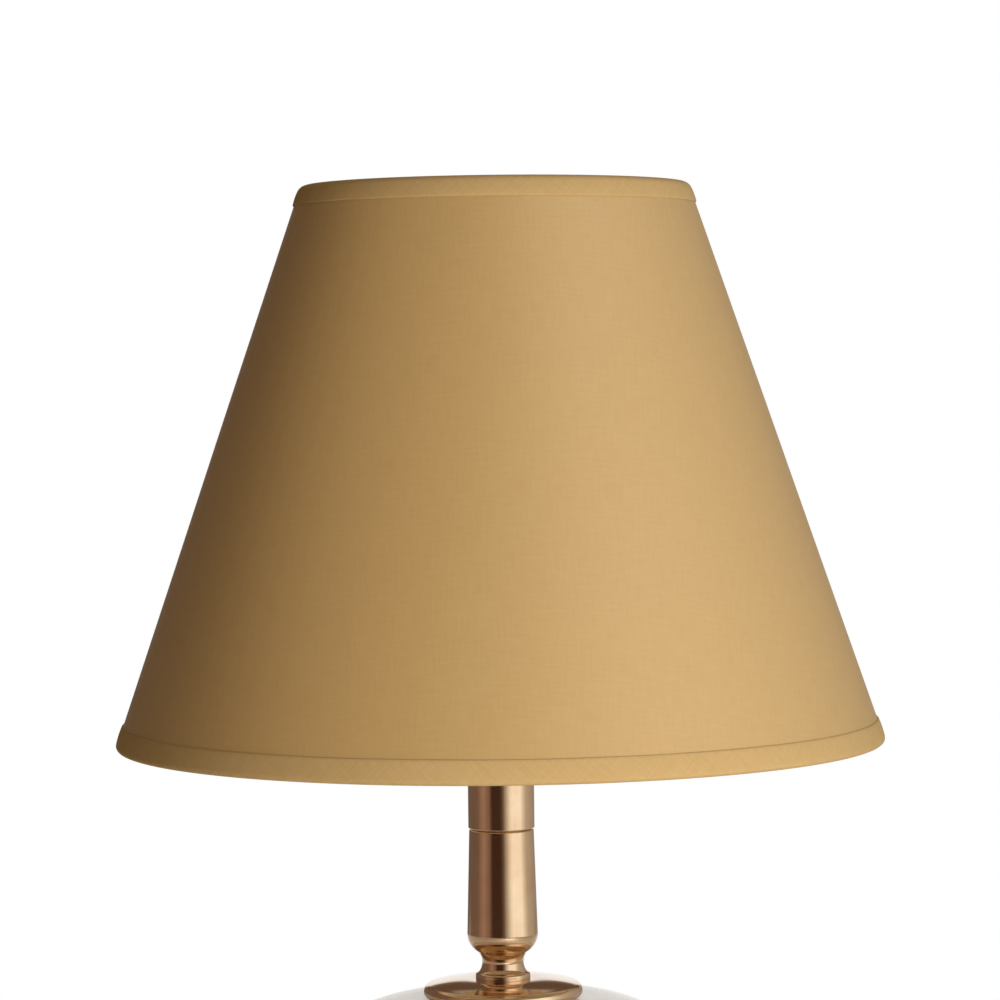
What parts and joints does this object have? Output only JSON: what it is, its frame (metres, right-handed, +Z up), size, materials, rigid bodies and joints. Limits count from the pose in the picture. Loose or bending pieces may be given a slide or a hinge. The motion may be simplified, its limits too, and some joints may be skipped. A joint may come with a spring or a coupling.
{
  "type": "candle lamp with shade",
  "caption": "Candle lamp: a spring-fed candle in a brass tube on a drip pan and glazed jar, with a cone shade clamped to the tube.",
  "frame": {"origin": "centre of the felt pad's underside, on the lamp's axis, level with the table", "axes": "+Z up along the lamp's axis, -Y towards the picture's camera, +X to its right"},
  "size_m": [0.2866, 0.2866, 0.5407],
  "materials": {
    "felt": "matte",
    "polished_brass": "polished",
    "plain_brass": "satin",
    "wire_brass": "satin",
    "zinc_steel": "satin",
    "spring_steel": "satin",
    "white_glaze": "gloss",
    "cork": "matte",
    "candle_wax": "satin",
    "cotton_wick": "matte",
    "shade_card": "satin",
    "shade_cloth": "matte",
    "trim_cloth": "matte"
  },
  "bodies": {
    "stand": {"felt_pad": "felt", "foot": "polished_brass", "jar": "white_glaze", "tie_rod": "zinc_steel", "foot_washer": "zinc_steel", "foot_nut": "zinc_steel", "pan_gasket": "cork", "drip_pan": "polished_brass", "nozzle": "polished_brass"},
    "tube": {"candle_tube": "polished_brass", "spigot": "plain_brass", "bayonet_pins": "plain_brass", "feed_spring": "spring_steel"},
    "candle": {"follower": "plain_brass", "candle": "candle_wax", "wick": "cotton_wick"},
    "cap": {"candle_cap": "polished_brass"},
    "gallery": {"gallery_collar": "polished_brass"},
    "thumbscrew": {"thumbscrew": "polished_brass"},
    "shade": {"shade_ring": "wire_brass", "shade_arms": "wire_brass", "top_wire": "wire_brass", "bottom_wire": "wire_brass", "shade_liner": "shade_card", "shade_cover": "shade_cloth", "top_trim": "trim_cloth", "bottom_trim": "trim_cloth"}
  },
  "joints": [
    {"name": "tube_lift", "type": "slide", "parent": "stand", "child": "tube", "axis": [0, 0, 1], "range_m": [0, 0.045]},
    {"name": "cap_turn", "type": "hinge", "parent": "tube", "child": "cap", "pos_m": [0, 0, 0.43], "axis": [0, 0, 1], "range_deg": [0, 35]},
    {"name": "candle_feed", "type": "slide", "parent": "tube", "child": "candle", "axis": [0, 0, 1], "range_m": [-0.022, 0], "stiffness_N_per_m": 25, "springref_m": 0.045, "deforming": ["feed_spring"]},
    {"name": "gallery_slide", "type": "slide", "parent": "tube", "child": "gallery", "axis": [0, 0, 1], "range_m": [-0.03, 0.0015]},
    {"name": "thumbscrew_turn", "type": "hinge", "parent": "gallery", "child": "thumbscrew", "pos_m": [0, 0.025, 0.413], "axis": [0, 1, 0], "range_deg": [0, 360]},
    {"name": "shade_lift", "type": "slide", "parent": "gallery", "child": "shade", "axis": [0, 0, 1], "range_m": [0, 0.13]}
  ]
}
